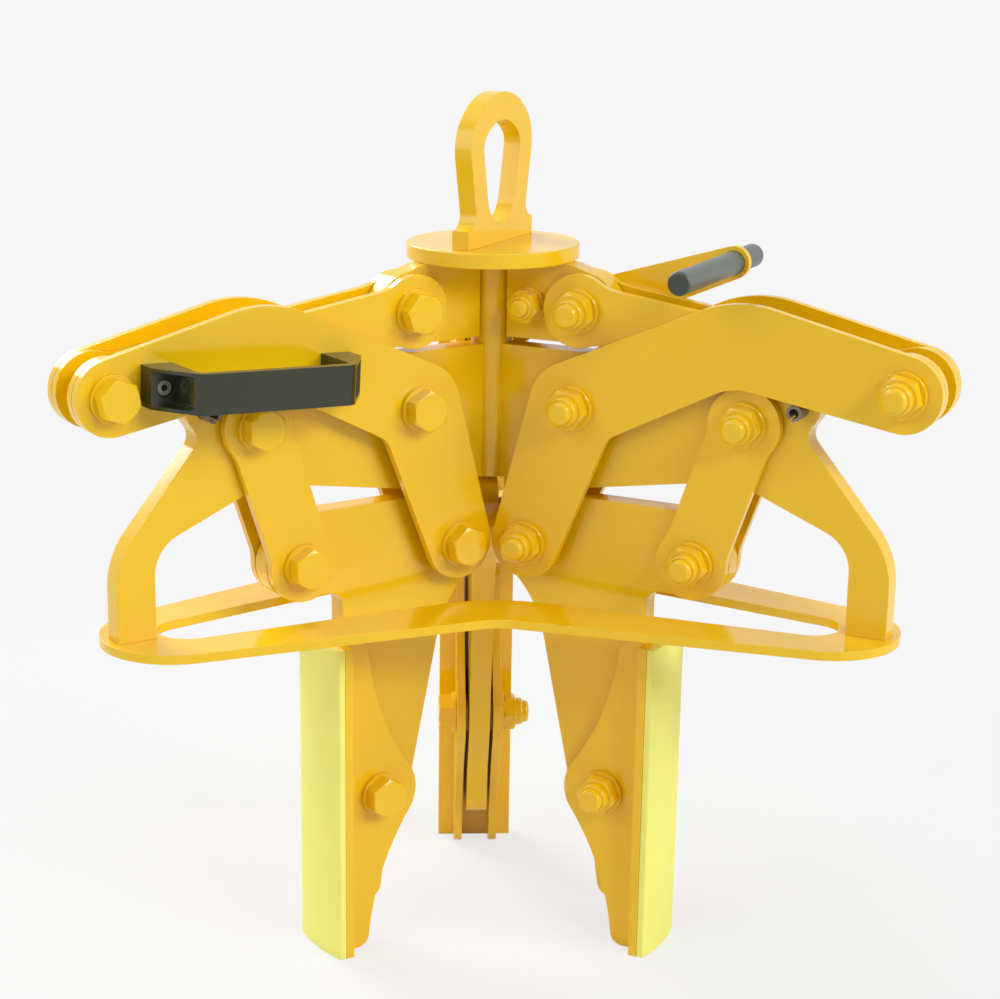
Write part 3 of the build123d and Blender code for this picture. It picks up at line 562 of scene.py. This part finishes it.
class GripperLook(bpy.types.PropertyGroup):
    """Colours, gloss and edge rounding of the gripper."""

    paint_colour: colour_property("Paint", "Colour of the painted steel", (0.865, 0.535, 0.004))
    paint_roughness: FloatProperty(
        name="Paint roughness", description="Low is glossy", subtype="FACTOR", min=0.05, max=1.0,
        default=0.15,
    )
    pad_colour: colour_property("Pads", "Colour of the friction pads", (0.89, 0.875, 0.195))
    handle_colour: colour_property("Handle", "Colour of the moulded bow handle", (0.0225, 0.026, 0.0085))
    bar_colour: colour_property("Grip bar", "Colour of the lever's grip bar", (0.095, 0.118, 0.095))
    pin_colour: colour_property("Pins", "Colour of the spring pins", (0.19, 0.15, 0.12))
    screw_colour: colour_property("Screws", "Colour of the handle's socket screws", (0.30, 0.32, 0.25))
    plate_edge: edge_property("Plate edges", "Rounding of the painted plates' edges", 0.002, 0.0003)
    handle_edge: edge_property("Handle edges", "Rounding of the handle's edges", 0.003, 0.0004)
    steel_edge: edge_property("Steel edges", "Rounding of the pins' and screws' edges", 0.001, 0.0002)
    pad_edge: edge_property("Pad edges", "Rounding of the friction pads' edges", 0.003, 0.0008)


class GripperStudio(bpy.types.PropertyGroup):
    """Camera, light and floor of the studio."""

    camera_place: FloatVectorProperty(
        name="Camera place", description="Where the camera stands", subtype="TRANSLATION", unit="LENGTH",
        size=3, default=(-0.10072, -1.47215, 0.13939),
    )
    azimuth: FloatProperty(
        name="Azimuth", description="Turn of the camera about the upright axis", subtype="ANGLE",
        unit="ROTATION", default=radians(-1.009),
    )
    elevation: FloatProperty(
        name="Elevation", description="How far the camera looks down", subtype="ANGLE", unit="ROTATION",
        default=radians(16.387),
    )
    lens: FloatProperty(
        name="Lens", description="Focal length on a 36 mm sensor, in millimetres", min=10.0, max=300.0,
        default=80.98,
    )
    shift_x: FloatProperty(name="Shift across", description="Sideways shift of the frame", default=0.12112)
    shift_y: FloatProperty(name="Shift up", description="Upward shift of the frame", default=0.05651)
    backdrop: colour_property("Backdrop", "Colour of the floor and background", (0.9216, 0.9216, 0.9216))
    floor_height: FloatProperty(
        name="Floor", description="Height of the floor", subtype="DISTANCE", unit="LENGTH",
        default=CAD_BOX[0].z,
    )
    ambient: FloatProperty(
        name="Ambient", description="Light from all round", min=0.0, max=2.0, default=0.19,
    )
    right_power: power_property("Right light", "Large lamp on the right", 44.0)
    front_power: power_property("Front light", "Lamp in front, right of the camera", 20.0)
    left_power: power_property("Left light", "Large lamp in front, left of the camera", 17.0)
    top_power: power_property("Top light", "Wide lamp overhead", 7.5)
    back_power: power_property("Back light", "Large lamp behind on the left", 48.0)


# One operator for each group of like pieces, and one for the stage

class GRIPPER_OT_plates(bpy.types.Operator):
    """Paint the plates, webs, links, tube, disc and eye, and round their edges"""

    bl_idname = "gripper.plates"
    bl_label = "Painted plates"

    def execute(self, context):
        look = context.scene.gripper_look
        names = list(FRAME_PLATES) + [f"{arm}_{piece}" for arm in ARMS for piece in ARM_PLATES]
        for name in names:
            dress(name, finish("yellow_paint"), look.plate_edge)
        return {"FINISHED"}


class GRIPPER_OT_bolts(bpy.types.Operator):
    """Make the pivot bolts with chamfered heads, washers and locking nuts"""

    bl_idname = "gripper.bolts"
    bl_label = "Pivot bolts"

    def execute(self, context):
        paint = finish("yellow_paint")
        for arm in ARMS:
            for piece, places in bolt_places(arm).items():
                name = f"{arm}_{piece}"
                reach = reach_of(name, arm)
                turned = Turned()
                for centre, head_turn, nut_turn in zip(places, HEAD_TURNS[piece], NUT_TURNS[piece]):
                    bolt(turned, axis_frame(arm, centre), reach, LARGE, head_turn, nut_turn)
                if piece == "shoe_bolt":
                    self.inner_washers(turned, axis_frame(arm, places[0]), f"{arm}_shoe_cheeks", arm)
                seat(turned.piece(f"{name}_turned", paint), name)
        return {"FINISHED"}

    def inner_washers(self, turned, place, cheeks, arm):
        """Washers that centre the leg between the cheeks of its shoe."""
        side = arm_sides(arm)[2]
        gap = min(abs(vertex.co.dot(side)) for vertex in NODES[cheeks].data.vertices)
        leg = max(abs(vertex.co.dot(side)) for vertex in NODES[f"{arm}_leg_plate"].data.vertices)
        bore = LARGE.radius + LARGE.play
        for start, end in ((leg + LEG_GAP, gap), (-gap, -leg - LEG_GAP)):
            washer(turned, place, start, end, bore, LARGE.washer_radius, LARGE.edge)


class GRIPPER_OT_lever_stop(bpy.types.Operator):
    """Make the small bolt with the sleeve that the lever's tail rests against"""

    bl_idname = "gripper.lever_stop"
    bl_label = "Lever stop bolt"

    def execute(self, context):
        arm = LOCK_ARM
        name = "lever_stop_bolt"
        side = arm_sides(arm)[2]
        lowest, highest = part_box(name)
        middle = (lowest + highest) / 2
        centre = middle - side * middle.dot(side)
        turned = Turned()
        place = axis_frame(arm, centre)
        reach = reach_of(name, arm)
        bolt(turned, place, reach, SMALL, STOP_BOLT_TURN, STOP_BOLT_TURN)
        web = max(abs(vertex.co.dot(side)) for vertex in NODES[f"{arm}_head_web"].data.vertices)
        sleeve_end = reach[0] + SMALL.head + SMALL.washer
        bore = SMALL.radius + 2 * SMALL.play
        washer(turned, place, sleeve_end, -web, bore, SLEEVE_RADIUS, SLEEVE_EDGE)
        seat(turned.piece(f"{name}_turned", finish("yellow_paint")), name)
        return {"FINISHED"}


class GRIPPER_OT_pads(bpy.types.Operator):
    """Give the friction pads their cast skin and soft edges"""

    bl_idname = "gripper.pads"
    bl_label = "Friction pads"

    def execute(self, context):
        for arm in ARMS:
            dress(f"{arm}_shoe_pad", finish("friction_pad"), context.scene.gripper_look.pad_edge)
        return {"FINISHED"}


class GRIPPER_OT_handle(bpy.types.Operator):
    """Give the bow handle its moulded grain and rounded edges, and finish its screws"""

    bl_idname = "gripper.handle"
    bl_label = "Bow handle"

    def execute(self, context):
        look = context.scene.gripper_look
        dress(f"{HANDLE_ARM}_bow_handle", finish("black_plastic"), look.handle_edge)
        dress(f"{HANDLE_ARM}_handle_screws", finish("socket_screw"), look.steel_edge)
        return {"FINISHED"}


class GRIPPER_OT_grip_bar(bpy.types.Operator):
    """Coat the lever's grip bar"""

    bl_idname = "gripper.grip_bar"
    bl_label = "Grip bar"

    def execute(self, context):
        dress("lever_grip", finish("grip_bar"), 0.0)
        return {"FINISHED"}


class GRIPPER_OT_pins(bpy.types.Operator):
    """Finish the slotted spring pins and the lever's catch pin"""

    bl_idname = "gripper.pins"
    bl_label = "Pins"

    def execute(self, context):
        edge = context.scene.gripper_look.steel_edge
        dress("stop_pins", finish("spring_pin"), edge)
        dress("catch_pin", finish("spring_pin"), edge)
        return {"FINISHED"}


class GRIPPER_OT_stage(bpy.types.Operator):
    """Set up the floor, the lamps, the background and the camera"""

    bl_idname = "gripper.stage"
    bl_label = "Stage"

    def execute(self, context):
        studio = context.scene.gripper_studio
        self.floor(studio)
        self.world(studio)
        middle = (CAD_BOX[0] + CAD_BOX[1]) / 2
        for name, (place, width) in LAMPS.items():
            self.lamp(f"{name}_light", place, middle, width, getattr(studio, f"{name}_power"))
        self.camera(studio)
        context.scene.view_settings.view_transform = "Standard"
        return {"FINISHED"}

    def shown(self, node):
        """1 for rays that show the background itself, 0 for rays that carry its light."""
        kinds = ("Camera", "Glossy", "Transmission")
        camera, glossy, transmission = (node("LightPath", None, None, f"Is {kind} Ray") for kind in kinds)
        return camera + glossy + transmission

    def floor(self, studio):
        """Pale floor that shows the backdrop's colour and a soft shadow near the object."""
        signs = ((-1, -1), (1, -1), (1, 1), (-1, 1))
        corners = [(x * FLOOR_HALF, y * FLOOR_HALF, studio.floor_height) for x, y in signs]
        mesh = bpy.data.meshes.new("floor")
        mesh.from_pydata(corners, [], [(0, 1, 2, 3)])
        material, node = new_material("pale_floor")
        place = node("TexCoord", None, None, "Object")
        away = node("VectorMath", {"operation": "LENGTH"}, {0: place}, "Value")
        near = node("MapRange", {"interpolation_type": "SMOOTHSTEP"}, {
            "Value": away, "From Min": SHADOW_NEAR, "From Max": SHADOW_FAR,
            "To Min": SHADOW_SHARE, "To Max": 0.0,
        })
        backdrop = (*studio.backdrop, 1.0)
        matt = node("BsdfDiffuse", None, {"Color": toned(backdrop, FLOOR_TONE)})
        glow = node("Emission", None, {"Color": backdrop, "Strength": 1.0})
        mixed = node("MixShader", None, {0: self.shown(node) * (1 - near), 1: matt, 2: glow})
        node("OutputMaterial", None, {"Surface": mixed})
        mesh.materials.append(material)
        made = bpy.data.objects.new("floor", mesh)
        bpy.context.scene.collection.objects.link(made)

    def world(self, studio):
        """Even light all round, behind a backdrop of the floor's colour."""
        world = bpy.data.worlds.new("studio")
        world.use_nodes = True
        world.node_tree.nodes.clear()
        node = partial(Wire.node, world.node_tree)
        light = node("Background", None, {"Color": (1.0, 1.0, 1.0, 1.0), "Strength": studio.ambient})
        seen = node("Background", None, {"Color": (*studio.backdrop, 1.0), "Strength": 1.0})
        mixed = node("MixShader", None, {0: self.shown(node), 1: light, 2: seen})
        node("OutputWorld", None, {"Surface": mixed})
        bpy.context.scene.world = world

    def lamp(self, name, place, aim, width, energy):
        """Soft square lamp that looks at the object."""
        light = bpy.data.lights.new(name, "AREA")
        light.energy = energy
        light.size = width
        made = bpy.data.objects.new(name, light)
        made.location = place
        made.rotation_euler = (aim - Vector(place)).to_track_quat("-Z", "Y").to_euler()
        bpy.context.scene.collection.objects.link(made)

    def camera(self, studio):
        """Camera of the catalogue view."""
        lens = bpy.data.cameras.new("camera")
        lens.lens = studio.lens
        lens.sensor_width = 36.0
        lens.shift_x = studio.shift_x
        lens.shift_y = studio.shift_y
        made = bpy.data.objects.new("camera", lens)
        made.location = studio.camera_place
        made.rotation_euler = (pi / 2 - studio.elevation, 0.0, studio.azimuth)
        bpy.context.scene.collection.objects.link(made)
        bpy.context.scene.camera = made


OPERATORS = (
    GRIPPER_OT_plates, GRIPPER_OT_bolts, GRIPPER_OT_lever_stop, GRIPPER_OT_pads, GRIPPER_OT_handle,
    GRIPPER_OT_grip_bar, GRIPPER_OT_pins, GRIPPER_OT_stage,
)


class GRIPPER_PT_sidebar(bpy.types.Panel):
    """Pieces of the gripper and their sizes and colours"""

    bl_idname = "GRIPPER_PT_sidebar"
    bl_label = "Lifting gripper"
    bl_space_type = "VIEW_3D"
    bl_region_type = "UI"
    bl_category = "Gripper"

    def draw(self, context):
        layout = self.layout
        for operator in OPERATORS:
            layout.operator(operator.bl_idname)
        for group in (context.scene.gripper_look, context.scene.gripper_studio):
            box = layout.box()
            for name in group.__annotations__:
                box.prop(group, name)


CLASSES = (GripperLook, GripperStudio, *OPERATORS, GRIPPER_PT_sidebar)


def register():
    for cls in CLASSES:
        bpy.utils.register_class(cls)
    bpy.types.Scene.gripper_look = PointerProperty(type=GripperLook)
    bpy.types.Scene.gripper_studio = PointerProperty(type=GripperStudio)


def unregister():
    del bpy.types.Scene.gripper_studio
    del bpy.types.Scene.gripper_look
    for cls in reversed(CLASSES):
        bpy.utils.unregister_class(cls)


def main():
    register()
    for operator in OPERATORS:
        family, name = operator.bl_idname.split(".")
        getattr(getattr(bpy.ops, family), name)()


if __name__ == "__main__":
    main()
